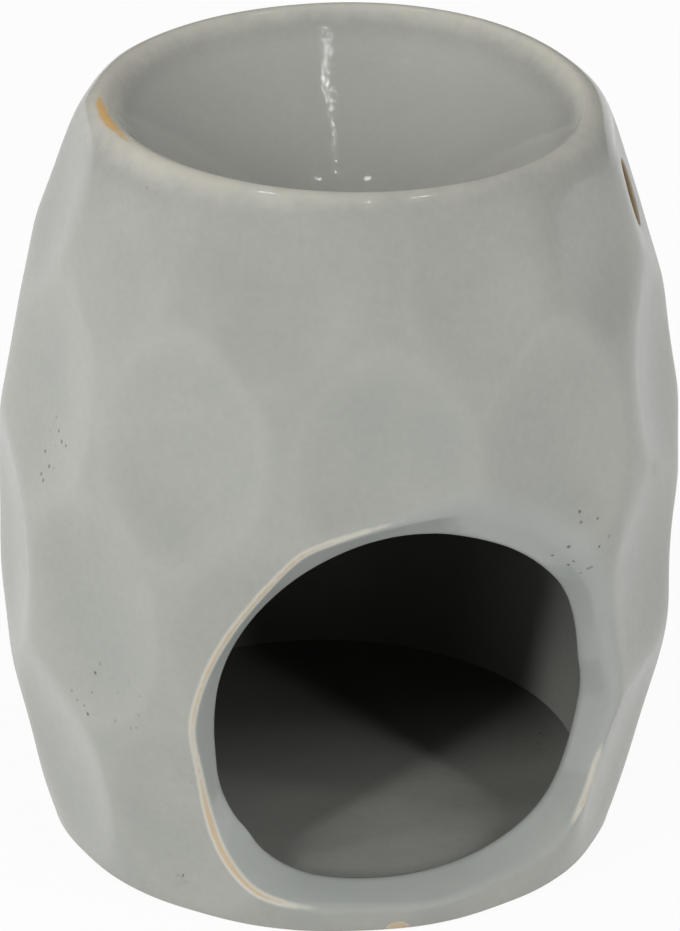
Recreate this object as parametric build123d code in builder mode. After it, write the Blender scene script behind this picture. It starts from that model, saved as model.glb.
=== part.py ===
"""Essential oil burner in glazed ceramic: a hammered barrel wall with a hand-cut candle window and two
vents, an oil bowl luted into its mouth, and a floor that rests on a ledge inside its foot.

Millimetres, +Z up. The origin is the centre of the foot, and the candle window faces -Y.
An azimuth is in degrees from the middle of the window, positive towards +X.
"""

import os
from math import atan2, cos, radians, sin, sqrt, tan

from build123d import *

# Barrel: two arcs that meet upright at the belly, with a wall measured level
height = 110.2
belly_radius = 48.5
belly_height = 49.5
foot_radius = 40.0
lip_radius = 35.5
wall = 6.5

# Foot: a ring to stand on, with a ledge inside it for the floor
foot_ring_width = 7.0
foot_rounding = 1.0
ledge_height = 2.0
floor_thickness = 4.0

# Oil bowl: a cone with a rounded bottom, under a soft lip
seam_drop = 5.5
lip_rise = 2.2
rim_radius = 30.8
bowl_depth = 20.0
bowl_floor_radius = 8.0
bowl_rounding = 14.0
bowl_wall = 5.0

# Gap left for slip where one piece of clay drops into another
luting_gap = 0.15

# Hammer marks: shallow spherical dimples in staggered rows, from the foot up
dimple_radius = 75.0
dimple_row_height_shares = (0.155, 0.42, 0.667, 0.872)
dimple_row_depths = (2.6, 2.9, 2.7, 1.6)
dimple_row_azimuths = (
    (-170, -139, -107, -75, -42, -8, 22, 55, 88, 121, 155),
    (-155, -123, -92, -61, -27, 10, 52, 80, 108, 140, 173),
    (-172, -142, -112, -77, -43, -7, 25, 62, 93, 125, 157),
    (-148, -120, -93, -63, -28, 11, 44, 75, 108, 144, 180),
)

# Candle window: its outline on the upright plane that touches the foot, and how it flares through the wall
window_right = 35.0
window_left = 33.4
window_head = 59.5
window_head_shift = 2.8
window_middle = 29.3
window_sill = 4.2
window_right_flare = 36
window_left_flare = 45
window_head_flare = 54
window_sill_fall = 27
window_right_head_share = 0.59
window_left_head_share = 0.68
window_right_sill_share = 0.94
window_left_sill_share = 0.90

# Vents: round holes punched through the middle of two dimples of the top row
vent_diameter = 9.0
vent_azimuths = (75, 180)

# How far a cutting tool runs past the faces that it cuts
overrun = 5.0


def arc_bend(z):
    """Bend radius of the barrel at height z: the lower arc ends at the foot and the upper at the lip."""
    end_radius, end_height = (foot_radius, 0) if z < belly_height else (lip_radius, height)
    fall = belly_radius - end_radius
    return (fall**2 + (end_height - belly_height) ** 2) / (2 * fall)


def barrel_radius(z, inset=0):
    """Radius of the barrel at height z, inset level from its outer face."""
    bend = arc_bend(z)
    return belly_radius - inset - bend + sqrt(bend**2 - (z - belly_height) ** 2)


def outward(azimuth):
    """Level unit vector that points out of the barrel at an azimuth."""
    return Vector(sin(radians(azimuth)), -cos(radians(azimuth)), 0)


def dimple_location(azimuth, z, depth):
    """Centre of the sphere that presses a dimple square to the wall, with its X axis pointing outwards."""
    rise = z - belly_height
    lean = atan2(rise, sqrt(arc_bend(z) ** 2 - rise**2))
    stand_off = dimple_radius - depth
    centre = outward(azimuth) * (barrel_radius(z) + stand_off * cos(lean))
    return Location(centre + Vector(0, 0, z + stand_off * sin(lean)), (0, 0, azimuth - 90))


dimple_rows = [
    [dimple_location(azimuth, share * height, depth) for azimuth in azimuths]
    for share, depth, azimuths in zip(dimple_row_height_shares, dimple_row_depths, dimple_row_azimuths)
]
vent_height = dimple_row_height_shares[-1] * height
seam_height = height - seam_drop
seam_outer = (barrel_radius(seam_height), seam_height)
seam_inner = (barrel_radius(seam_height, wall), seam_height)

# Cutter for the candle window: an arch over a squarer sill, in four curves, lofted from inside the wall out
window_hands = (
    (window_right, window_right_flare, window_right_head_share, window_right_sill_share),
    (-window_left, -window_left_flare, window_left_head_share, window_left_sill_share),
)
with BuildPart() as window_cutter:
    for distance in (foot_radius - wall - 2 * overrun, belly_radius + overrun):
        reach = distance - foot_radius
        head = (window_head_shift, window_head + reach * tan(radians(window_head_flare)))
        sill = (0, window_sill - reach * tan(radians(window_sill_fall)))
        with BuildSketch(Plane.XZ.offset(distance)):
            with BuildLine():
                for half_width, flare, head_share, sill_share in window_hands:
                    side = half_width + reach * tan(radians(flare))
                    for (across, up), share in ((head, head_share), (sill, sill_share)):
                        Bezier(
                            (side, window_middle),
                            (side, window_middle + share * (up - window_middle)),
                            (across + share * (side - across), up),
                            (across, up),
                        )
            make_face()
    loft()

# Barrel wall: turned, hammered, then cut for the window and the vents
ledge_outer = (barrel_radius(ledge_height, wall), ledge_height)
ledge_inner_radius = foot_radius - foot_ring_width
with BuildPart() as barrel_wall:
    with BuildSketch(Plane.XZ):
        with BuildLine():
            TangentArc((belly_radius, belly_height), (foot_radius, 0), tangent=(0, -1))
            TangentArc((belly_radius, belly_height), seam_outer, tangent=(0, 1))
            Line(seam_outer, seam_inner)
            TangentArc((belly_radius - wall, belly_height), seam_inner, tangent=(0, 1))
            TangentArc((belly_radius - wall, belly_height), ledge_outer, tangent=(0, -1))
            Polyline(
                ledge_outer,
                (ledge_inner_radius, ledge_height),
                (ledge_inner_radius, 0),
                (foot_radius, 0),
            )
        make_face()
    revolve(axis=Axis.Z)
    fillet(barrel_wall.edges().filter_by(GeomType.CIRCLE).group_by(Axis.Z)[0], foot_rounding)
    for row in dimple_rows:
        for location in row:
            with Locations(location):
                Sphere(dimple_radius, mode=Mode.SUBTRACT)
    add(window_cutter.part, mode=Mode.SUBTRACT)
    for azimuth in vent_azimuths:
        mouth = outward(azimuth) * (barrel_radius(vent_height) + overrun) + Vector(0, 0, vent_height)
        with Locations(Plane(origin=mouth, z_dir=outward(azimuth))):
            Hole(vent_diameter / 2, depth=wall + 2 * overrun)
barrel_wall.part.label = "barrel_wall"

# Oil bowl: its lip carries the barrel on upwards, and the collar under it drops into the barrel's mouth
bowl_floor = height - bowl_depth
lip_shoulder = height - lip_rise
lip_outer_radius = barrel_radius(lip_shoulder)
bowl_slope = atan2(lip_shoulder - bowl_floor, rim_radius - bowl_floor_radius)
underside = bowl_floor - bowl_wall
underside_radius = bowl_floor_radius + bowl_wall * tan(bowl_slope / 2)
collar_radius = barrel_radius(seam_height, wall + luting_gap)
collar_foot = underside + (collar_radius - underside_radius) * tan(bowl_slope)
with BuildPart() as oil_bowl:
    with BuildSketch(Plane.XZ) as bowl_section:
        with BuildLine():
            Polyline(
                (rim_radius, lip_shoulder),
                (bowl_floor_radius, bowl_floor),
                (0, bowl_floor),
                (0, underside),
                (underside_radius, underside),
                (collar_radius, collar_foot),
                (collar_radius, seam_height),
                seam_outer,
            )
            TangentArc(
                seam_outer,
                (lip_outer_radius, lip_shoulder),
                tangent=(belly_height - seam_height, seam_outer[0] - belly_radius + arc_bend(seam_height)),
            )
            ThreePointArc(
                (lip_outer_radius, lip_shoulder),
                ((lip_outer_radius + rim_radius) / 2, height),
                (rim_radius, lip_shoulder),
            )
        make_face()
        bowl_corner = bowl_section.vertices().sort_by_distance((bowl_floor_radius, bowl_floor))[0]
        fillet(bowl_corner, bowl_rounding)
    revolve(axis=Axis.Z)
    for location in dimple_rows[-1]:
        with Locations(location):
            Sphere(dimple_radius, mode=Mode.SUBTRACT)
oil_bowl.part.label = "oil_bowl"

# Floor of the candle chamber: a disc that rests on the ledge, with an edge that leans out with the wall
floor_top = ledge_height + floor_thickness
with BuildPart() as chamber_floor:
    with BuildSketch(Plane.XZ):
        with BuildLine():
            Polyline(
                (0, ledge_height),
                (barrel_radius(ledge_height, wall + luting_gap), ledge_height),
                (barrel_radius(floor_top, wall + luting_gap), floor_top),
                (0, floor_top),
                close=True,
            )
        make_face()
    revolve(axis=Axis.Z)
chamber_floor.part.label = "chamber_floor"

os.makedirs("parts", exist_ok=True)
export_step(barrel_wall.part, "parts/barrel_wall.step")
export_step(oil_bowl.part, "parts/oil_bowl.step")
export_step(chamber_floor.part, "parts/chamber_floor.step")
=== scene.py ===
"""Essential oil burner in grey glazed stoneware: a hammered barrel wall with a hand-cut candle window, the
floor of its candle chamber and the oil bowl in its mouth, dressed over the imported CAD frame.

Pieces are worked out in millimetres, with the barrel's axis on Z and the window facing -Y. An azimuth is an
angle from the middle of the window, positive towards +X. A turn is a place on the edge of a hole: 0 at its
right, 1 at its head, 2 at its left and 3 at its sill.
"""

import bpy
import numpy as np
from mathutils import Matrix, Vector


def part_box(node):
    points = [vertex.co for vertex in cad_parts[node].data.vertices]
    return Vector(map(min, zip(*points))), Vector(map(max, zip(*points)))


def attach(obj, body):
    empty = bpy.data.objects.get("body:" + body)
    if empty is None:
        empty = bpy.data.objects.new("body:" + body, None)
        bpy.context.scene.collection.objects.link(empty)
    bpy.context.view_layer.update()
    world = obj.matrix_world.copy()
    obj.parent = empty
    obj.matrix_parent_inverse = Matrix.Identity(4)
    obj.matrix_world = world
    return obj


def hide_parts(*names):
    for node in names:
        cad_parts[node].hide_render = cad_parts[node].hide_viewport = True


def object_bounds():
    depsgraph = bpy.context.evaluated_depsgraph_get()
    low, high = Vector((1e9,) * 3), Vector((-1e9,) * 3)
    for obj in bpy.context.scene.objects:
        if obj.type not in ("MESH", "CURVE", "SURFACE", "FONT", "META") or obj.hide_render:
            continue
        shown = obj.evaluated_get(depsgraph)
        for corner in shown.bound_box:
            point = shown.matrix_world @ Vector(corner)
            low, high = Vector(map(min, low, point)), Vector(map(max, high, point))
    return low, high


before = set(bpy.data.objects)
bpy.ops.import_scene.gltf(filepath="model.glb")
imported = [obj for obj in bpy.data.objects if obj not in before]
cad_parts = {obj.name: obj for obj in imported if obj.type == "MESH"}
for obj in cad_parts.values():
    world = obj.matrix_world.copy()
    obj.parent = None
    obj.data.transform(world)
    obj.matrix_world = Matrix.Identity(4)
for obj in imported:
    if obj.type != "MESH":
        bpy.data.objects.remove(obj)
cad_low, cad_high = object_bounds()


# Barrel wall: stoneware, hammered all round while leather-hard, with a candle window cut by hand and rubbed
# soft, and two vents punched under the lip. The grey glaze breaks to cream and tan where it runs thin on an
# arris, and was wiped off the foot. Painted shade makes it near-black at the back of the chamber and in the
# vents, and its ridges are paled partly by thin glaze and partly as a painted highlight.
MM = 0.001
height = cad_high.z / MM
seam_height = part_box("barrel_wall")[1].z / MM
floor_bottom, floor_top = (corner.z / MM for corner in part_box("chamber_floor"))
belly_radius = 48.5
belly_height = 49.5
foot_radius = 40.0
foot_ring_width = 7.0
foot_rounding = 1.0
wiped_height = 0.5
lip_radius = 35.5
wall = 6.5


def ease(value, start, end):
    """Rises from 0 at start to 1 at end, as 3x^2 - 2x^3 of the share of the way."""
    share = np.clip((value - start) / (end - start), 0, 1)
    return share**2 * (3 - 2 * share)


def arc_bend(z):
    """Bend radius of the barrel at height z, for the arc from the belly to the foot or to the lip."""
    fall = belly_radius - np.where(z < belly_height, foot_radius, lip_radius)
    rise = np.where(z < belly_height, belly_height, height - belly_height)
    return (fall**2 + rise**2) / (2 * fall)


def barrel_radius(z):
    """Radius of the barrel before it is hammered: an arc about a point level with the belly."""
    bend = arc_bend(z)
    return belly_radius - bend + np.sqrt(bend**2 - (z - belly_height) ** 2)


# Hammer marks: shallow spherical dimples in staggered rows, from the foot up, with soft ridges between them
dimple_radius = 75.0
ridge_softness = 0.5
ridge_raise = 0.2
ridge_fade = 1.3
dimple_row_height_shares = (0.155, 0.42, 0.667, 0.872)
dimple_row_depths = (2.6, 2.9, 2.7, 1.6)
dimple_row_azimuths = (
    (-170, -139, -107, -75, -42, -8, 22, 55, 88, 121, 155),
    (-155, -123, -92, -61, -27, 10, 52, 80, 108, 140, 173),
    (-172, -142, -112, -77, -43, -7, 25, 62, 93, 125, 157),
    (-148, -120, -93, -63, -28, 11, 44, 75, 108, 144, 180),
)

dimple_azimuth, dimple_z, dimple_depth = np.array(
    [
        (np.radians(azimuth), share * height, depth)
        for share, depth, azimuths in zip(dimple_row_height_shares, dimple_row_depths, dimple_row_azimuths)
        for azimuth in azimuths
    ]
).T
dimple_lean = np.arcsin((dimple_z - belly_height) / arc_bend(dimple_z))
hammer_out = barrel_radius(dimple_z) + (dimple_radius - dimple_depth) * np.cos(dimple_lean)
hammer_up = dimple_z + (dimple_radius - dimple_depth) * np.sin(dimple_lean)


def struck_radii(azimuth, z):
    """Radii at which a level ray from the axis meets the plain barrel and each dimple's sphere.

    A sphere of radius R at azimuth a from the ray, d out and h up, is met at
    d cos(a) - sqrt(R^2 - (z - h)^2 - (d sin(a))^2).
    """
    azimuth, z = np.broadcast_arrays(azimuth, z)
    apart = azimuth[..., None] - dimple_azimuth
    under_root = dimple_radius**2 - (z[..., None] - hammer_up) ** 2 - (hammer_out * np.sin(apart)) ** 2
    met = (under_root > 0) & (np.cos(apart) > 0)
    dimple = np.where(met, hammer_out * np.cos(apart) - np.sqrt(np.maximum(under_root, 0)), np.inf)
    return np.concatenate([barrel_radius(z)[..., None], dimple], axis=-1)


def hammered_radius(azimuth, z):
    """Radius of the hammered wall: the soft minimum -s log(sum(exp(-r / s))) of the radii that are struck,
    raised by about what that takes off a ridge."""
    radii = struck_radii(azimuth, z)
    least = radii.min(axis=-1, keepdims=True)
    shares = np.exp((least - radii) / ridge_softness).sum(axis=-1)
    return least[..., 0] - ridge_softness * np.log(shares) + ridge_raise


def ridge_near(azimuth, z):
    """How near a ridge is: exp(-d / fade) where the two least radii that are struck are d apart."""
    least, second = np.partition(struck_radii(azimuth, z), 1, axis=-1)[..., :2].T
    return np.exp((least - second) / ridge_fade)


def cubic(t, start, first_handle, second_handle, end):
    """Cubic Bezier at t: (1 - t)^3, 3 (1 - t)^2 t, 3 (1 - t) t^2 and t^3 of its four points, added up."""
    near, far = 3 * (1 - t) ** 2 * t, 3 * (1 - t) * t**2
    return (1 - t) ** 3 * start + near * first_handle + far * second_handle + t**3 * end


# Lip: where its curve leaves the wall, where it comes to its crest, and its handles at both ends
shoulder_height = 99.0
shoulder_handle = 5.0
crest_radius = 33.4
crest_handle = 2.6

shoulder_t = np.linspace(0, 1, 200)
shoulder_z = cubic(shoulder_t, shoulder_height, shoulder_height + shoulder_handle, height, height)


def outer_radius(azimuth, z):
    """Radius of the outer face: the hammered wall, and above the shoulder a cubic Bezier that rolls in to
    the lip's crest."""
    below = np.minimum(z, shoulder_height)
    body = hammered_radius(azimuth, below)
    slope = body - hammered_radius(azimuth, below - 1)
    t = np.interp(z, shoulder_z, shoulder_t)
    return cubic(t, body, body + shoulder_handle * slope, crest_radius + crest_handle, crest_radius)


def inner_radius(azimuth, z):
    """Radius of the inner face, which is smooth: the slip takes up the dimples."""
    return np.broadcast_arrays(barrel_radius(z) - wall, azimuth)[0]


def points_at(azimuth, radius, z):
    """Points in space from an azimuth, a radius and a height."""
    azimuth, radius, z = np.broadcast_arrays(azimuth, radius, z)
    return np.stack([radius * np.sin(azimuth), -radius * np.cos(azimuth), z], axis=-1)


# Candle window: its outline on the upright plane that touches the foot, and how it flares through the wall
window_right = 35.0
window_left = 33.4
window_head = 59.5
window_head_shift = 2.8
window_middle = 29.3
window_sill = 4.2
window_right_flare = np.radians(36)
window_left_flare = np.radians(45)
window_head_flare = np.radians(54)
window_sill_fall = np.radians(27)
window_right_head_share = 0.59
window_left_head_share = 0.68
window_right_sill_share = 0.94
window_left_sill_share = 0.90

# Where the knife strayed from the window's outline, as pairs of a turn and a depth into the hole
outer_strays = (
    (0.2, 0.3), (0.75, -0.9), (1.25, 1.0), (1.9, 0.6), (2.2, 0.0), (2.7, -0.5), (3.1, 0.8), (3.3, -0.8),
    (3.6, 0.9), (3.9, -0.7),
)
inner_strays = (
    (0.0, 0.7), (0.25, 1.5), (0.55, -0.7), (0.9, 0.3), (1.1, -0.7), (1.9, 0.5), (2.15, 0.3), (2.45, 2.3),
    (2.8, 0.0), (3.25, 0.9), (3.65, 0.9),
)

# How far the window's arrises are rounded, as pairs of a turn and a width
outer_rounding = (
    (0.0, 1.8), (0.5, 3.4), (0.8, 3.2), (1.1, 1.4), (2.0, 1.3), (2.8, 1.2), (3.1, 0.9), (3.6, 1.2),
)
inner_rounding = ((0.0, 1.2), (1.0, 1.6), (2.0, 1.2), (3.0, 1.4))

turns = np.linspace(0, 4, 400, endpoint=False)
smoothing_reach = 6


def by_turn(pairs):
    """Values at all turns: straight from pair to pair of a turn and a value, then smoothed by a moving
    mean."""
    at, value = np.array(pairs).T
    straight = np.interp(turns, at, value, period=4)
    shifts = range(-smoothing_reach, smoothing_reach + 1)
    return np.mean([np.roll(straight, shift) for shift in shifts], axis=0)


def window_outline(distance):
    """Across and up of the window's outline at a distance in front of the axis.

    Each quarter is a cubic Bezier from a side to the head or the sill, with both handles the same share of
    the way to the corner. The outline flares in proportion to the distance.
    """
    reach = distance - foot_radius
    right, upper = (turns <= 1) | (turns >= 3), turns <= 2
    right_side = window_right + reach * np.tan(window_right_flare)
    left_side = -window_left - reach * np.tan(window_left_flare)
    side = np.where(right, right_side, left_side)
    head = window_head + reach * np.tan(window_head_flare)
    sill = window_sill - reach * np.tan(window_sill_fall)
    end_across, end_up = np.where(upper, window_head_shift, 0), np.where(upper, head, sill)
    head_share = np.where(right, window_right_head_share, window_left_head_share)
    sill_share = np.where(right, window_right_sill_share, window_left_sill_share)
    share = np.where(upper, head_share, sill_share)
    t = 1 - np.abs(1 - turns % 2)
    return (
        cubic(t, side, side, end_across + share * (side - end_across), end_across),
        cubic(t, window_middle, window_middle + share * (end_up - window_middle), end_up, end_up),
    )


def set_back(azimuth, z, radius, distance):
    """Moves a closed edge away from its hole by a distance along the wall, square to its own run."""
    run = radius * (np.roll(azimuth, -1) - np.roll(azimuth, 1))
    rise = np.roll(z, -1) - np.roll(z, 1)
    length = np.hypot(run, rise)
    return azimuth + distance * rise / length / radius, z - distance * run / length


def window_edge(face, strays):
    """Azimuth and height of the window's edge on a face: its outline there, found by repeated substitution
    of the distance, and then moved by the strays of the knife."""
    distance = np.full_like(turns, foot_radius)
    for _ in range(40):
        across, up = window_outline(distance)
        radius = face(np.arctan2(across, distance), up)
        distance = (distance + np.sqrt(radius**2 - across**2)) / 2
    return set_back(np.arctan2(across, distance), up, radius, -by_turn(strays))


# Vents: round holes punched under the lip, a little out of round
vent_radius = 4.5
vent_wave = 0.03
vent_ripple = 0.012
vent_rounding = 0.6
vent_azimuths = np.radians((75, 180))


def vent_edge(face, azimuth, z):
    """Azimuth and height of a vent's edge on a face: a circle seen along the vent, torn into a few waves."""
    angle = turns * np.pi / 2
    radius = vent_radius * (1 + vent_wave * np.sin(3 * angle + 1) + vent_ripple * np.sin(7 * angle))
    up = z + radius * np.sin(angle)
    return azimuth + np.arcsin(radius * np.cos(angle) / face(azimuth, up)), up


def around_hole(azimuth, z, sides, levels):
    """Ring, turn and limit of grid points around a hole.

    The ring is 1 on the rectangle of points that edges the hole, and 2 where the grid is at rest. Sides and
    levels give the left and right, or the low and high, of both rectangles in order. The limit is the point
    of the edging rectangle at the same turn.
    """
    across = np.interp(azimuth, sides, (-2, -1, 1, 2))
    up = np.interp(z, levels, (-2, -1, 1, 2))
    ring = np.maximum(np.maximum(np.abs(across), np.abs(up)), 1e-6)
    lead = np.minimum(np.abs(across), np.abs(up)) / ring / 2
    quarter = np.where(np.abs(across) >= np.abs(up), lead, 1 - lead)
    upper_turn = np.where(across >= 0, quarter, 2 - quarter)
    lower_turn = np.where(across < 0, 2 + quarter, 4 - quarter)
    limit = np.interp(across / ring, (-1, 1), sides[1:3]), np.interp(up / ring, (-1, 1), levels[1:3])
    return ring, np.where(up >= 0, upper_turn, lower_turn) % 4, limit


def stations(marks, counts):
    """Values from mark to mark, with so many equal steps between each two."""
    return np.interp(np.arange(sum(counts) + 1), np.cumsum([0, *counts]), marks)


def rounded_corner(before, corner, after, rounding):
    """Rows of points around a corner: a quadratic Bezier from a rounding's length before it to one after."""
    back, on = before - corner, after - corner
    start = corner + back * rounding / np.linalg.norm(back, axis=-1, keepdims=True)
    end = corner + on * rounding / np.linalg.norm(on, axis=-1, keepdims=True)
    t = np.linspace(0, 1, 8).reshape(-1, 1, 1)
    return (1 - t) ** 2 * start + 2 * (1 - t) * t * corner + t**2 * end


def closed_quads(rows):
    """Quads between neighbouring rows of point numbers, each row a closed loop."""
    near, far = rows[:-1], rows[1:]
    return np.stack([near, np.roll(near, -1, 1), np.roll(far, -1, 1), far], axis=-1)


# How far the glaze is worn to tan to each side of the window's arrises, as pairs of a turn and a width; a
# width below nothing leaves the glaze whole
outer_wear = (
    (0.0, -0.8), (0.9, -0.8), (1.15, 0.4), (1.6, 0.5), (2.0, 0.45), (2.25, 0.6), (2.5, 0.55), (2.8, 0.4),
    (2.92, -0.8), (3.4, -0.8), (3.55, 0.5), (3.85, 0.6), (3.95, -0.8),
)
inner_wear = ((0.0, -2.0), (2.3, -2.0), (2.45, 0.2), (2.55, 0.3), (2.8, -0.2), (2.95, -2.0))

# Over what length the wear beside a worn line falls by 1, and how far from the edge it is worked out
wear_fade = 2.5
wear_reach = 5.0


def wear_near(points, edge, width):
    """How far the glaze is worn: 1 on the border of the worn line along an edge, which has a width to each
    side, more within it, and less by 1 in each length of the fade away from it. Points are taken in batches,
    to keep the array of distances small."""
    worn = np.zeros(len(points))
    low, high = edge.min(axis=0) - wear_reach, edge.max(axis=0) + wear_reach
    near = np.flatnonzero(((points > low) & (points < high)).all(axis=1))
    for batch in np.array_split(near, 30):
        away = np.linalg.norm(points[batch, None] - edge, axis=-1) - width
        worn[batch] = np.clip(1 - away.min(axis=1) / wear_fade, 0, 2)
    return worn


def put_mesh(name, points, faces, material, attributes):
    """Makes a smooth mesh object from points in millimetres and lists of faces by point numbers, and leaves
    out points that no face uses."""
    used = np.unique(np.concatenate([np.ravel(part) for part in faces]))
    number = np.zeros(len(points), int)
    number[used] = np.arange(len(used))
    mesh = bpy.data.meshes.new(name)
    corners = [face for part in faces for face in number[part].tolist()]
    mesh.from_pydata((points[used] * MM).tolist(), [], corners)
    for key, values in attributes.items():
        layer = mesh.attributes.new(key, "FLOAT", "POINT")
        layer.data.foreach_set("value", values[used].astype(np.float32))
    mesh.shade_smooth()
    mesh.set_sharp_from_angle(angle=np.radians(60))
    mesh.materials.append(material)
    piece = bpy.data.objects.new(name, mesh)
    bpy.context.scene.collection.objects.link(piece)
    return piece


def add_node(tree, kind, settings=None, **inputs):
    """Adds a shader node. A setting is a property of the node. An input is a value or another node's output,
    and is named by its socket, or by _ and its number."""
    node = tree.nodes.new(kind)
    for key, value in (settings or {}).items():
        setattr(node, key, value)
    for key, value in inputs.items():
        socket = node.inputs[int(key[1:])] if key[0] == "_" else node.inputs[key]
        if isinstance(value, bpy.types.NodeSocket):
            tree.links.new(value, socket)
        else:
            socket.default_value = value
    return node.outputs


# Colours of the glaze and of what lies over or under it; the near-black is painted shade, and the pale grey
# is partly painted light
grey = (0.405, 0.409, 0.37)
deep_grey = (0.311, 0.322, 0.3)
pale_grey = (0.458, 0.46, 0.418)
cream = (0.62, 0.595, 0.515)
tan = (0.53, 0.40, 0.245)
clay = (0.62, 0.40, 0.17)
# Near-black of the painted shade
shade_black = (0.1, 0.097, 0.092)
speck_grey = (0.2, 0.2, 0.18)
pool_grey = (0.37, 0.40, 0.385)
pinhole_brown = (0.07, 0.062, 0.05)

# Scales of the glaze's patterns, in waves to the metre
cloud_scale = 34.0
speck_scale = 900.0
wear_scale = 420.0
wipe_scale = 700.0
pinhole_scale = 560.0
pinhole_patch_scale = 52.0
sheen_scale = 120.0
ripple_scale = 150.0
grain_scale = 800.0

# How strongly each of the glaze's colours shows, and from what wear to what wear the thin ones come in
speck_share = 0.16
pool_share = 0.5
cream_share = 0.8
cream_range = (0.78, 0.98)
tan_share = 0.85
tan_range = (0.97, 1.05)
pinhole_share = 0.75

# How gloss and relief change from place to place
sheen_stray = 0.02
pool_gloss = 0.15
clay_dullness = 0.45
# How much the painted shade dulls the shine
shade_dulling = 0.45
speck_relief = 0.06
grain_relief = 2.0
relief_depth = 0.6 * MM


def glaze(name, roughness):
    """Glossy grey glaze, clouded and lightly speckled, that reads the piece's own attributes.

    It is paler where the glaze runs thin over ridges and where light is painted into the bowl, breaks to
    cream and then tan as worn comes near 1, is missing from the clay where bare is 1, and is painted a dull
    near-black as painted shade where the chamber lies dark. It is bluer and glossier where pooled is 1, and
    full of pinholes where pitted is 1.
    """
    material = bpy.data.materials.new(name)
    material.use_nodes = True
    tree = material.node_tree
    surface = tree.nodes["Principled BSDF"]
    place = add_node(tree, "ShaderNodeTexCoord")["Object"]

    def noise(scale, detail, low, high):
        """Noise over the piece, stretched so that its usual range runs from low to high."""
        pattern = {"Scale": scale, "Detail": detail, "Roughness": 0.6}
        value = add_node(tree, "ShaderNodeTexNoise", Vector=place, **pattern)[0]
        spread = {"_1": 0.2, "_2": 0.8, "_3": low, "_4": high}
        return add_node(tree, "ShaderNodeMapRange", {"clamp": False}, _0=value, **spread)["Result"]

    def maths(operation, first, second):
        """Result of an operation on two values."""
        return add_node(tree, "ShaderNodeMath", {"operation": operation}, _0=first, _1=second)["Value"]

    def rise(value, start, end):
        """Rises smoothly from 0 at start to 1 at end."""
        way = {"interpolation_type": "SMOOTHSTEP"}
        return add_node(tree, "ShaderNodeMapRange", way, _0=value, _1=start, _2=end)["Result"]

    def mix(share, first, second):
        """Mixes two colours."""
        return add_node(tree, "ShaderNodeMix", {"data_type": "RGBA"}, _0=share, _6=first, _7=second)[2]

    def attribute(key):
        """One of the piece's own attributes."""
        return add_node(tree, "ShaderNodeAttribute", {"attribute_name": key})["Fac"]

    fine = noise(speck_scale, 2.0, 0.0, 1.0)
    thin = maths("ADD", attribute("worn"), noise(wear_scale, 2.0, -0.025, 0.025))
    bare = rise(maths("ADD", attribute("bare"), noise(wipe_scale, 4.0, -0.25, 0.25)), 0.35, 0.65)
    creamy = rise(thin, *cream_range)
    tanned = rise(thin, *tan_range)
    painted_shade = attribute("painted_shade")
    pooled = attribute("pooled")

    cell = add_node(tree, "ShaderNodeTexVoronoi", Vector=place, Scale=pinhole_scale)["Distance"]
    density = maths("ADD", attribute("pitted"), noise(pinhole_patch_scale, 2.0, -0.7, 0.45))
    pinholes = maths("MULTIPLY", rise(cell, 0.2, 0.1), rise(density, 0.2, 0.5))

    colour = mix(noise(cloud_scale, 5.0, 0.0, 1.0), (*deep_grey, 1), (*grey, 1))
    for share, covering in (
        (maths("MULTIPLY", fine, speck_share), speck_grey),
        # Pale grey where glaze runs thin on ridges, partly a painted highlight, and painted light in the
        # bowl
        (attribute("thin_glaze_and_painted_light"), pale_grey),
        (maths("MULTIPLY", pooled, pool_share), pool_grey),
        (maths("MULTIPLY", creamy, cream_share), cream),
        (maths("MULTIPLY", tanned, tan_share), tan),
        (bare, clay),
        # Near-black painted shade where the chamber lies dark
        (painted_shade, shade_black),
        (maths("MULTIPLY", pinholes, pinhole_share), pinhole_brown),
    ):
        colour = mix(share, colour, (*covering, 1))
    tree.links.new(colour, surface.inputs["Base Color"])

    sheen = noise(sheen_scale, 3.0, roughness - sheen_stray, roughness + sheen_stray)
    dull = maths("ADD", maths("MULTIPLY", bare, clay_dullness), sheen)
    glossed = maths("SUBTRACT", dull, maths("MULTIPLY", pooled, pool_gloss))
    tree.links.new(glossed, surface.inputs["Roughness"])
    # Less shine on the painted shade
    shine = maths("SUBTRACT", 0.5, maths("MULTIPLY", painted_shade, shade_dulling))
    tree.links.new(shine, surface.inputs["Specular IOR Level"])
    surface.inputs["IOR"].default_value = 1.5

    ripple = maths("ADD", noise(ripple_scale, 3.0, 0.0, 1.0), maths("MULTIPLY", fine, speck_relief))
    grain = maths("MULTIPLY", bare, noise(grain_scale, 4.0, 0.0, grain_relief))
    relief = maths("SUBTRACT", ripple, maths("ADD", pinholes, grain))
    bump = add_node(tree, "ShaderNodeBump", Height=relief, Strength=0.1, Distance=relief_depth)["Normal"]
    tree.links.new(bump, surface.inputs["Normal"])
    return material


# The wall is one closed grid: up the outer face, over the seam, down the inner face and back round the foot.
# Its rows keep step around the window and the vents, so that as many points edge a hole outside as inside.
azimuths = np.radians(np.arange(-180, 180))
columns = len(azimuths)
row_counts = (7, 72, 20, 14, 6)
vent_z = dimple_row_height_shares[-1] * height
vent_levels = (vent_z - 8.2, vent_z - 5.2, vent_z + 5.2, vent_z + 8.2)
vent_sides = np.radians((-15, -8, 8, 15))
window_sides = np.radians((-60, -36, 36, 60))
outer_window_levels = (foot_rounding, 2.6, 69.5, 84.0)
inner_window_levels = (floor_bottom, 6.8, 62.0, 84.0)

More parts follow.
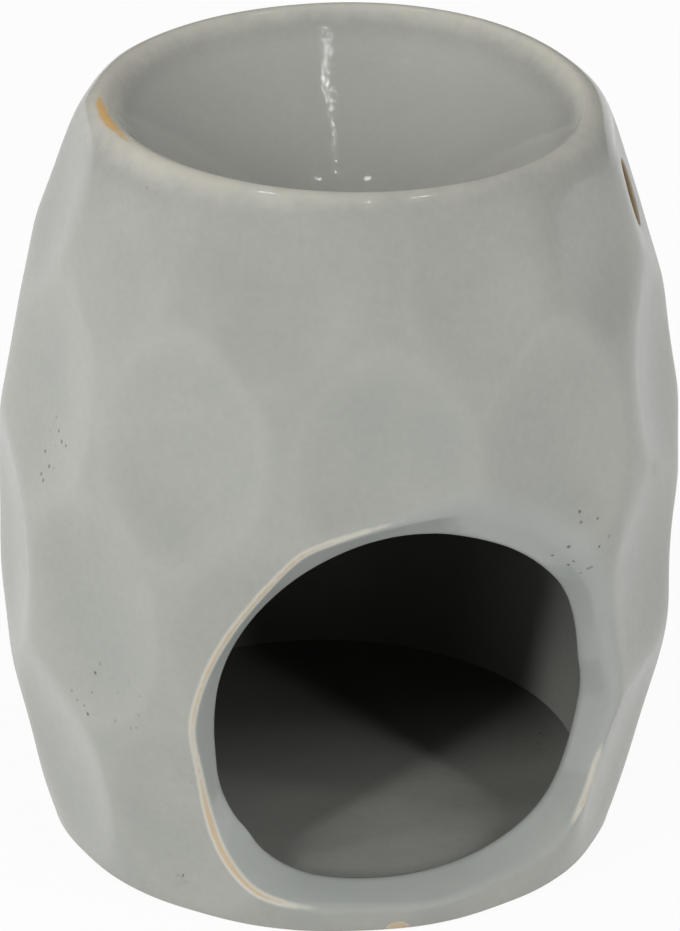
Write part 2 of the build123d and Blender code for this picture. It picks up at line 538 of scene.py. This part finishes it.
skins, edges, arrises = [], [], []
for face, window_levels, strays, window_rounding in (
    (outer_radius, outer_window_levels, outer_strays, outer_rounding),
    (inner_radius, inner_window_levels, inner_strays, inner_rounding),
):
    rows = stations((*window_levels[:3], *vent_levels[1:3], seam_height), row_counts)
    rest_azimuth, rest_z = np.broadcast_arrays(azimuths, rows[:, None])
    skin_azimuth, skin_z = rest_azimuth.copy(), rest_z.copy()
    holes = [(0.0, window_sides, window_levels, window_edge(face, strays), by_turn(window_rounding))]
    holes += [
        (vent, vent_sides, vent_levels, vent_edge(face, vent, vent_z), np.full_like(turns, vent_rounding))
        for vent in vent_azimuths
    ]
    face_edges = []
    for middle, sides, levels, (edge_azimuth, edge_z), rounding in holes:
        from_middle = (rest_azimuth - middle + np.pi) % (2 * np.pi) - np.pi
        ring, turn, (limit_azimuth, limit_z) = around_hole(from_middle, rest_z, sides, levels)
        edge_radius = face(edge_azimuth, edge_z)
        edge = points_at(edge_azimuth, edge_radius, edge_z)
        back_azimuth, back_z = set_back(edge_azimuth, edge_z, edge_radius, rounding)
        pull = ease(ring, 2, 1)
        skin_azimuth += pull * (np.interp(turn, turns, back_azimuth - middle, period=4) - limit_azimuth)
        skin_z += pull * (np.interp(turn, turns, back_z, period=4) - limit_z)
        loop = np.flatnonzero(np.isclose(ring, 1, atol=1e-5))
        loop = loop[np.argsort(turn.flat[loop])]
        loop_turn = turn.flat[loop]
        corner = np.stack([np.interp(loop_turn, turns, along, period=4) for along in edge.T], axis=-1)
        loop_rounding = np.interp(loop_turn, turns, rounding, period=4)[:, None]
        face_edges.append((ring < 1 + 1e-5, loop, corner, loop_rounding))
        arrises.append(edge)
    skins.append(points_at(skin_azimuth, face(skin_azimuth, skin_z), skin_z))
    edges.append(face_edges)

outer_skin, inner_skin = skins
skin_rows = len(outer_skin)
quarter = np.linspace(0, np.pi / 2, 6)[:, None]
falling = foot_rounding * (1 - np.sin(quarter))
rising = foot_rounding * (1 - np.cos(quarter))
foot_inside = foot_radius - foot_ring_width
foot_outside = np.hypot(outer_skin[0, :, 0], outer_skin[0, :, 1])
foot_rows = np.concatenate(
    [
        points_at(azimuths, foot_inside, np.full((1, 1), floor_bottom)),
        points_at(azimuths, foot_inside + rising, falling),
        points_at(azimuths, foot_outside - falling, rising)[:-1],
    ]
)
grid = np.concatenate([outer_skin, inner_skin[::-1], foot_rows])
numbers = np.arange(grid.shape[0] * columns).reshape(-1, columns)
quads = closed_quads(np.concatenate([numbers, numbers[:1]]))
solid = np.ones(quads.shape[:2], bool)
grid_points = grid.reshape(-1, 3)
wall_points = [grid_points]
pooled = [np.zeros(len(grid_points))]
bored = [np.zeros(len(grid_points))]
strips = []
for hole, (outer_hole, inner_hole) in enumerate(zip(*edges)):
    outer_inside, outer_loop, outer_corner, outer_round = outer_hole
    inner_inside, inner_loop, inner_corner, inner_round = inner_hole
    inside = np.zeros((len(grid) + 1, columns), bool)
    inside[:skin_rows] = outer_inside
    inside[skin_rows : 2 * skin_rows] = inner_inside[::-1]
    inside_quads = inside & np.roll(inside, -1, 1)
    solid &= ~(inside_quads[:-1] & inside_quads[1:])
    row, column = np.divmod(inner_loop, columns)
    inner_loop = (2 * skin_rows - 1 - row) * columns + column
    outer_turn = rounded_corner(grid_points[outer_loop], outer_corner, inner_corner, outer_round)
    inner_turn = rounded_corner(outer_corner, inner_corner, grid_points[inner_loop], inner_round)
    t = np.linspace(0, 1, 7).reshape(-1, 1, 1)[1:-1]
    reveal = np.concatenate([outer_turn[1:], (1 - t) * outer_turn[-1] + t * inner_turn[0], inner_turn[:-1]])
    first_number = sum(len(part) for part in wall_points)
    reveal_numbers = first_number + np.arange(reveal.size // 3).reshape(reveal.shape[:2])
    strip = np.concatenate([outer_loop[None], reveal_numbers, inner_loop[None]])
    strips.append(closed_quads(strip).reshape(-1, 4))
    wall_points.append(reveal.reshape(-1, 3))
    within = np.linspace(0, 1, len(reveal))[:, None] * np.ones(reveal.shape[1])
    pooled.append((ease(within, -0.1, 0.2) * (hole == 0)).ravel())
    bored.append((ease(within, 0.0, 0.3) * (hole > 0)).ravel())
wall_points = np.concatenate(wall_points)

# Where painted shade darkens the inner face and the vents, from its first trace to full
shade_azimuths = np.radians((95, 140))
shade_levels = (62, 80)
shade_depth = 1.5
vent_shade = 0.7

# Marks on the wall's outer side, which starts at mid_wall from its inner face: pale ridges, partly thin
# glaze and partly a painted highlight, a chip on the foot, and patches full of pinholes, each patch as an
# azimuth in degrees, a height and a spread
mid_wall = 3.0
ridge_paling = 0.25
ridge_paling_levels = (101, 92)
chip_azimuth = np.radians(-1)
chip_height = 0.6
chip_stretch = 1.5
chip_radii = (1.5, 0.8)
chip_wear = 1.2
pinhole_patches = ((-73, 66, 5.0), (28, 59.6, 6.5), (-61, 34.3, 6.0))

wall_azimuth = np.arctan2(wall_points[:, 0], -wall_points[:, 1])
wall_radius = np.hypot(wall_points[:, 0], wall_points[:, 1])
wall_z = wall_points[:, 2]
from_inside = wall_radius - inner_radius(wall_azimuth, wall_z)
# Painted shade: near-black on the inner face at the back and top of the chamber, and in the vents
far_side = np.maximum(ease(np.abs(wall_azimuth), *shade_azimuths), ease(wall_z, *shade_levels))
bored = np.concatenate(bored)
painted_shade = np.maximum(far_side * ease(from_inside, shade_depth, 0.0), vent_shade * bored)
bare = np.maximum(bored, ease(wall_z, wiped_height, 0.0))
chip = np.hypot((wall_azimuth - chip_azimuth) * foot_radius / chip_stretch, wall_z - chip_height)
worn = np.maximum(
    wear_near(wall_points, arrises[0], by_turn(outer_wear)),
    wear_near(wall_points, arrises[len(edges[0])], by_turn(inner_wear)),
)
worn = np.maximum(worn, chip_wear * ease(chip, *chip_radii) * (from_inside > mid_wall))
outside = ease(from_inside, mid_wall, mid_wall + 1)
# Ridges paled partly by thin glaze and partly as a painted highlight
thin_glaze_and_painted_light = ridge_paling * ridge_near(wall_azimuth, wall_z) * outside * ease(wall_z, *ridge_paling_levels)
pitted = np.zeros(len(wall_points))
for azimuth, z, spread in pinhole_patches:
    away = np.hypot((wall_azimuth - np.radians(azimuth)) * belly_radius, wall_z - z)
    pitted = np.maximum(pitted, np.exp(-((away / spread) ** 2)))
barrel = put_mesh(
    "barrel_wall_glazed",
    wall_points,
    [quads[solid], *strips],
    glaze("wall_glaze", roughness=0.23),
    {
        "worn": worn,
        "bare": bare,
        "painted_shade": painted_shade,
        "thin_glaze_and_painted_light": thin_glaze_and_painted_light,
        "pooled": np.concatenate(pooled),
        "pitted": pitted,
    },
)
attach(barrel, "root")
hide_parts("barrel_wall")


# Chamber floor: a disc of clay that rests on the ledge inside the foot, with a cove of slip wiped round its
# edge. It is glazed on top, painted near-black towards the back as painted shade, and bare below.
cove_width = 3.0
cove_rise = 0.3
wipe_gap = 0.05
floor_shade = 0.97
floor_shade_range = (-14, 18)
wiped_edge = 0.5

floor_edge = barrel_radius(floor_top + cove_rise) - wall - wipe_gap
floor_radius = stations((0, floor_edge - cove_width, floor_edge), (26, 6))[1:, None]
floor_z = floor_top + cove_rise * np.clip(1 - (floor_edge - floor_radius) / cove_width, 0, 1) ** 2
under_edge = barrel_radius(floor_bottom) - wall - wipe_gap
under_radius = np.linspace(0, under_edge, 10)[1:, None]


def two_poled(grid, top_rows, top_z, under_z):
    """Points and faces of a closed round piece: rows from its rim in to a pole on its upper side, and then
    rows from a pole on its underside back out to the rim."""
    numbers = np.arange(grid.shape[0] * columns).reshape(-1, columns)
    top_pole, under_pole = numbers.size, numbers.size + 1
    last, first = numbers[top_rows - 1], numbers[top_rows]
    faces = [
        closed_quads(numbers[:top_rows]).reshape(-1, 4),
        closed_quads(np.concatenate([numbers[top_rows:], numbers[:1]])).reshape(-1, 4),
        np.stack([last, np.roll(last, -1), np.full(columns, top_pole)], axis=-1),
        np.stack([np.roll(first, -1), first, np.full(columns, under_pole)], axis=-1),
    ]
    return np.concatenate([grid.reshape(-1, 3), [(0, 0, top_z), (0, 0, under_z)]]), faces


floor_grid = np.concatenate(
    [
        points_at(azimuths, floor_radius, floor_z)[::-1],
        points_at(azimuths, under_radius, np.full_like(under_radius, floor_bottom)),
    ]
)
floor_points, floor_faces = two_poled(floor_grid, len(floor_radius), floor_top, floor_bottom)
on_top = floor_points[:, 2] > floor_bottom
floor = put_mesh(
    "chamber_floor_glazed",
    floor_points,
    floor_faces,
    glaze("floor_glaze", roughness=0.2),
    {
        # Painted shade, near-black towards the back of the floor's top
        "painted_shade": floor_shade * ease(floor_points[:, 1], *floor_shade_range) * on_top,
        "bare": ease(floor_points[:, 2], floor_bottom + wiped_edge, floor_bottom),
    },
)
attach(floor, "root")
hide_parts("chamber_floor")


# Oil bowl: a thin cone of the same clay, luted with slip into the barrel's mouth. Its lip carries the barrel
# on, a little uneven from the hand that smoothed it, and breaks to cream and tan along its crest, more so on
# the left, where this is partly a painted highlight. Its inside is painted paler as painted light, and its
# underside near-black as painted shade.
rim_radius = 31.0
rim_slew = 0.5
rim_slew_azimuth = np.radians(75)
rim_drop = 2.2
rim_handle = 1.1
crest_inner_handle = 1.0
lip_sag = 0.9
lip_top_azimuth = np.radians(140)
lip_top_spread = np.radians(45)
bowl_depth = 20.0
bowl_floor_radius = 8.0
bowl_rounding = 14.0
bowl_wall = 5.0
luting_gap = 0.15
# How strongly the lip's crest breaks to cream and tan at each azimuth in degrees, and how fast that falls
# away from the crest; the rise towards the left is partly a painted highlight where the left lamps fall
lip_wear_and_highlight = (
    (-180, 0.93), (-120, 0.96), (-90, 1.0), (-60, 0.98), (-25, 0.95), (0, 0.92), (30, 0.91), (60, 0.95),
    (90, 0.97), (120, 0.94), (180, 0.93),
)
lip_wear_and_highlight_fall = 0.04
spot_azimuth = np.radians(-89)
spot_outward = 0.5
spot_length = 9.0
spot_width = 0.7
# How much paler the inside of the bowl is painted, as painted light, and over which radii it comes in
inside_painted_light = 0.35
inside_radii = (31, 28)

lip_t = np.linspace(np.interp(seam_height, shoulder_z, shoulder_t), 1, 20)[:, None]
lip_z = cubic(lip_t, shoulder_height, shoulder_height + shoulder_handle, height, height)
from_top = (azimuths - lip_top_azimuth + np.pi) % (2 * np.pi) - np.pi
sag = lip_sag * (1 - np.exp(-((from_top / lip_top_spread) ** 2)))
outside_z = lip_z - sag * ((lip_z - seam_height) / (height - seam_height)) ** 2
outside_radius = outer_radius(azimuths, lip_z)
crest_z = height - sag
rim_z = crest_z - rim_drop
rim_at = rim_radius + rim_slew * np.cos(azimuths - rim_slew_azimuth)
over = np.linspace(0, 1, 12)[1:, None]
bowl_floor = height - bowl_depth
slope = np.arctan2(bowl_depth - rim_drop, rim_radius - bowl_floor_radius)
rim_lead = rim_at + rim_handle * np.cos(slope)
over_radius = cubic(over, crest_radius, crest_radius - crest_inner_handle, rim_lead, rim_at)
over_z = cubic(over, crest_z, crest_z, rim_z + rim_handle * np.sin(slope), rim_z)

bend = np.linspace(slope, 0, 14)[:, None]
bend_radius = bowl_floor_radius - bowl_rounding * (np.tan(slope / 2) - np.sin(bend))
bend_z = bowl_floor + bowl_rounding * (1 - np.cos(bend))
down = np.linspace(0, 1, 36)[1:-1, None]
cone_radius = (1 - down) * rim_at + down * bend_radius[0]
cone_z = (1 - down) * rim_z + down * bend_z[0]
flat_radius = np.linspace(bend_radius[-1], 0, 6)[1:-1].reshape(-1, 1)

underside = bowl_floor - bowl_wall
underside_radius = bowl_floor_radius + bowl_wall * np.tan(slope / 2)
collar_radius = barrel_radius(seam_height) - wall - luting_gap
collar_foot = underside + (collar_radius - underside_radius) * np.tan(slope)
below_radius = stations((0, underside_radius, collar_radius, collar_radius), (5, 12, 4))[1:, None]
below_z = stations((underside, underside, collar_foot, seam_height), (5, 12, 4))[1:, None]

bowl_grid = np.concatenate(
    [
        points_at(azimuths, outside_radius, outside_z),
        points_at(azimuths, over_radius, over_z),
        points_at(azimuths, cone_radius, cone_z),
        points_at(azimuths, bend_radius, bend_z),
        points_at(azimuths, flat_radius, np.full_like(flat_radius, bowl_floor)),
        points_at(azimuths, below_radius, below_z),
    ]
)
bowl_points, bowl_faces = two_poled(bowl_grid, len(bowl_grid) - len(below_z), bowl_floor, underside)
bowl_azimuth = np.arctan2(bowl_points[:, 0], -bowl_points[:, 1])
bowl_radius = np.hypot(bowl_points[:, 0], bowl_points[:, 1])
wear_at, most_worn = np.array(lip_wear_and_highlight).T
below_crest = bowl_points[:, 2] - np.interp(bowl_azimuth, azimuths, crest_z)
from_crest = np.hypot(bowl_radius - crest_radius, below_crest)
bowl_wear_and_highlight = np.interp(bowl_azimuth, np.radians(wear_at), most_worn) - lip_wear_and_highlight_fall * from_crest
spot_along = (bowl_azimuth - spot_azimuth) * crest_radius / spot_length
spot = np.hypot(spot_along, (bowl_radius - crest_radius - spot_outward) / spot_width)
below_side = np.arange(len(bowl_points)) >= (len(bowl_grid) - len(below_z)) * columns
bowl = put_mesh(
    "oil_bowl_glazed",
    bowl_points,
    bowl_faces,
    glaze("bowl_glaze", roughness=0.08),
    {
        "worn": bowl_wear_and_highlight,
        "bare": np.exp(-(spot**2)) * (bowl_points[:, 2] > seam_height),
        # Painted shade under the bowl, and painted light paling its inside
        "painted_shade": below_side,
        "thin_glaze_and_painted_light": inside_painted_light * ease(bowl_radius, *inside_radii) * ~below_side,
    },
)
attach(bowl, "root")
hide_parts("oil_bowl")


# Stage: a white table before a white backdrop. Boxes, keys and walls of light don't show in the glaze, and
# three small lamps show only as glints. The camera stands above and to the left of the window.
table_reach = 3.0
table_in_view = 0.94
table_in_mirror = 0.52
table_paint = (0.85, 0.85, 0.85)
ambient_strength = 0.12
backdrop_in_view = 1.0
backdrop_in_mirror = 0.05
white = (1, 1, 1, 1)

table_mesh = bpy.data.meshes.new("table")
table_corners = [(x * table_reach, y * table_reach, 0) for x, y in ((-1, -1), (1, -1), (1, 1), (-1, 1))]
table_mesh.from_pydata(table_corners, [], [(0, 1, 2, 3)])
table_white = bpy.data.materials.new("table_white")
table_white.use_nodes = True
tree = table_white.node_tree
tree.nodes.remove(tree.nodes["Principled BSDF"])


def seen_share(tree, in_view, in_mirror):
    """A share for rays that the camera sends, a share for rays that a reflection sends, and 0 for light that
    bounces."""
    path = add_node(tree, "ShaderNodeLightPath")
    times = {"operation": "MULTIPLY"}
    view = add_node(tree, "ShaderNodeMath", times, _0=path["Is Camera Ray"], _1=in_view)["Value"]
    mirror = add_node(tree, "ShaderNodeMath", times, _0=path["Is Glossy Ray"], _1=in_mirror)["Value"]
    return add_node(tree, "ShaderNodeMath", {"operation": "ADD"}, _0=view, _1=mirror)["Value"]


seen = seen_share(tree, table_in_view, table_in_mirror)
paint = add_node(tree, "ShaderNodeBsdfDiffuse", Color=(*table_paint, 1))["BSDF"]
glow = add_node(tree, "ShaderNodeEmission", Color=white, Strength=1.0)["Emission"]
cover = add_node(tree, "ShaderNodeMixShader", _0=seen, _1=paint, _2=glow)["Shader"]
tree.links.new(cover, tree.nodes["Material Output"].inputs["Surface"])
table_mesh.materials.append(table_white)
table = bpy.data.objects.new("table", table_mesh)
bpy.context.scene.collection.objects.link(table)

world = bpy.data.worlds.new("white_backdrop")
world.use_nodes = True
tree = world.node_tree
ambient = tree.nodes["Background"]
ambient.inputs["Color"].default_value = white
ambient.inputs["Strength"].default_value = ambient_strength
around = ambient.outputs["Background"]
backdrop = add_node(tree, "ShaderNodeBackground", Color=white, Strength=1.0)["Background"]
seen = seen_share(tree, backdrop_in_view, backdrop_in_mirror)
behind = add_node(tree, "ShaderNodeMixShader", _0=seen, _1=around, _2=backdrop)["Shader"]
tree.links.new(behind, tree.nodes["World Output"].inputs["Surface"])
bpy.context.scene.world = world

stage_middle = Vector((0, 0, 0.055))
lamp_distance = 1.5


def looking_back(azimuth, elevation):
    """Unit vector from the middle of the stage towards an azimuth and an elevation in degrees."""
    azimuth, elevation = np.radians((azimuth, elevation))
    level = np.cos(elevation)
    return Vector((np.sin(azimuth) * level, -np.cos(azimuth) * level, np.sin(elevation)))


for name, azimuth, elevation, width, length, power, lights, shines in (
    ("left_box", -52, 22, 0.10, 1.10, 9.0, True, False),
    ("right_box", 26, 22, 0.10, 1.10, 7.2, True, False),
    ("left_key", -67, 40, 0.12, 0.12, 1.8, True, False),
    ("right_key", 52, 33, 0.12, 0.12, 1.2, True, False),
    ("left_wall", -107, 16, 1.40, 1.40, 13.0, True, False),
    ("right_wall", 77, 25, 1.40, 1.40, 5.0, True, False),
    ("top_box", 0, 88, 0.50, 0.50, 1.8, True, False),
    ("left_glint", -115, 74.6, 0.09, 0.09, 0.25, False, True),
    ("right_glint", 90, 73.2, 0.09, 0.09, 0.25, False, True),
    ("top_glint", 32, 83.2, 0.010, 0.04, 0.06, False, True),
):
    light = bpy.data.lights.new(name, "AREA")
    light.shape = "RECTANGLE"
    light.size = width
    light.size_y = length
    light.energy = power
    lamp = bpy.data.objects.new(name, light)
    out = looking_back(azimuth, elevation)
    lamp.location = stage_middle + out * lamp_distance
    lamp.rotation_mode = "QUATERNION"
    lamp.rotation_quaternion = out.to_track_quat("Z", "Y")
    lamp.visible_diffuse = lights
    lamp.visible_glossy = shines
    bpy.context.scene.collection.objects.link(lamp)

view_azimuth = -15.0
view_elevation = 26.0
view_roll = np.radians(1.274)
view_distance = 0.8
pixels_per_mm = 7.058
image_height = 931
aim_offset = Vector((1.95, 5.8, 0))
view_middle = Vector((0, 0, 0.052))

back = looking_back(view_azimuth, view_elevation)
facing = (-back).to_track_quat("-Z", "Y").to_matrix()
aim = view_middle + facing @ aim_offset / pixels_per_mm * MM
camera = bpy.data.objects.new("camera", bpy.data.cameras.new("camera"))
camera.data.sensor_width = 36.0
camera.data.lens = camera.data.sensor_width * pixels_per_mm * view_distance / MM / image_height
rolled = facing @ Matrix.Rotation(view_roll, 3, "Z")
camera.matrix_world = Matrix.Translation(aim + back * view_distance) @ rolled.to_4x4()
bpy.context.scene.collection.objects.link(camera)
bpy.context.scene.camera = camera
bpy.context.scene.view_settings.view_transform = "Standard"
